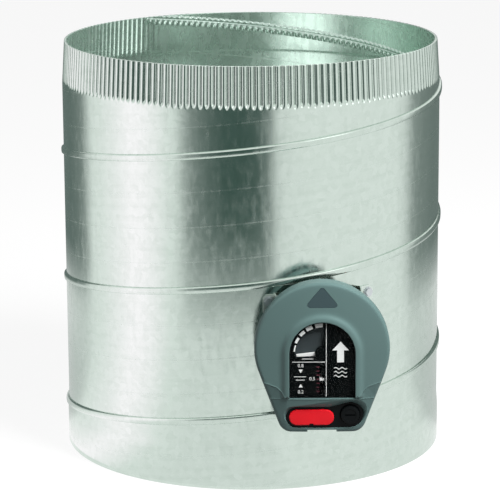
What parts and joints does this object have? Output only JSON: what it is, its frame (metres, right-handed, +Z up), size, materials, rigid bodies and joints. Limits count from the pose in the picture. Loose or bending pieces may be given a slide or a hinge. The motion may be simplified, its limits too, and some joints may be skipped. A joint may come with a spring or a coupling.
{
  "type": "pressure regulating damper",
  "caption": "Round galvanised duct damper with an off-centre blade on a sprung shaft and a control box with a dial, a pointer and a set-point knob.",
  "frame": {"origin": "on the duct axis, in the plane of the lower rim", "axes": "+Z up along the duct axis, the way the air flows; the control box faces -Y; the shaft lies along Y"},
  "size_m": [0.3613, 0.396, 0.3868],
  "materials": {
    "galvanised_sheet": "hot-dip galvanised sheet, faint spangle, satin",
    "zinc_plated_steel": "zinc plated, satin",
    "black_oxide_steel": "black oxide",
    "spring_steel": "drawn wire",
    "black_foam_rubber": "closed-cell foam",
    "natural_nylon": "moulded, natural colour",
    "grey_moulded_abs": "moulded, satin",
    "black_moulded_abs": "moulded, satin",
    "black_printed_plate": "screen-printed, satin",
    "clear_polycarbonate": "clear, polished",
    "red_gloss_plastic": "moulded, gloss",
    "white_acetal": "moulded, satin"
  },
  "bodies": {
    "duct": {"duct_tube": "galvanised_sheet", "lock_seam": "galvanised_sheet", "crimped_end": "galvanised_sheet", "lower_seat": "galvanised_sheet", "upper_seat": "galvanised_sheet", "lower_seat_gasket": "black_foam_rubber", "upper_seat_gasket": "black_foam_rubber", "front_bushing": "natural_nylon", "rear_bushing": "natural_nylon", "mounting_bracket": "galvanised_sheet", "bracket_screws": "zinc_plated_steel", "base_housing": "grey_moulded_abs", "base_screws": "zinc_plated_steel", "carriage_keeper": "zinc_plated_steel", "gear_retainer": "zinc_plated_steel", "small_screws": "zinc_plated_steel", "idler_pin": "zinc_plated_steel", "inner_dial": "black_moulded_abs", "tension_spring": "spring_steel"},
    "blade_set": {"blade": "galvanised_sheet", "shaft": "zinc_plated_steel", "blade_straps": "galvanised_sheet", "strap_screws": "zinc_plated_steel", "strap_nuts": "zinc_plated_steel", "shaft_collars": "zinc_plated_steel", "shaft_end_cap": "black_moulded_abs", "crank_arm": "zinc_plated_steel", "crank_set_screw": "black_oxide_steel", "spring_pin": "zinc_plated_steel", "pointer": "white_acetal", "pointer_screw": "zinc_plated_steel"},
    "setpoint_knob": {"knob": "black_moulded_abs", "knob_gear": "white_acetal"},
    "idler": {"idler_gear": "white_acetal"},
    "carriage": {"rack_carriage": "black_moulded_abs", "setpoint_mark": "white_acetal", "anchor_pin": "zinc_plated_steel"},
    "cover": {"front_cover": "grey_moulded_abs", "window_lens": "clear_polycarbonate", "dial_plate": "black_printed_plate", "fascia_insert": "black_moulded_abs", "badge": "red_gloss_plastic", "lift_arrow": "black_moulded_abs"}
  },
  "joints": [
    {"name": "blade_turn", "type": "hinge", "parent": "duct", "child": "blade_set", "pos_m": [0.0614, 0, 0.136], "axis": [0, 1, 0], "range_deg": [0, 90], "stiffness_Nm_per_rad": 0.08, "springref_deg": -34.38, "deforming": ["tension_spring"]},
    {"name": "knob_turn", "type": "hinge", "parent": "duct", "child": "setpoint_knob", "pos_m": [0.0862, 0, 0.0792], "axis": [0, -1, 0], "range_deg": [-134, 134]},
    {"name": "idler_turn", "type": "hinge", "parent": "duct", "child": "idler", "pos_m": [0.0752, 0, 0.09345], "axis": [0, -1, 0], "range_deg": [-49, 49]},
    {"name": "carriage_slide", "type": "slide", "parent": "duct", "child": "carriage", "axis": [0, 0, 1], "range_m": [-0.0112, 0.0112]},
    {"name": "cover_pull", "type": "slide", "parent": "duct", "child": "cover", "axis": [0, -1, 0], "range_m": [0, 0.04]}
  ],
  "couplings": [
    {"joint": "knob_turn", "follows": "carriage_slide", "rad_per_m": 208.33},
    {"joint": "idler_turn", "follows": "carriage_slide", "rad_per_m": -75.758}
  ]
}
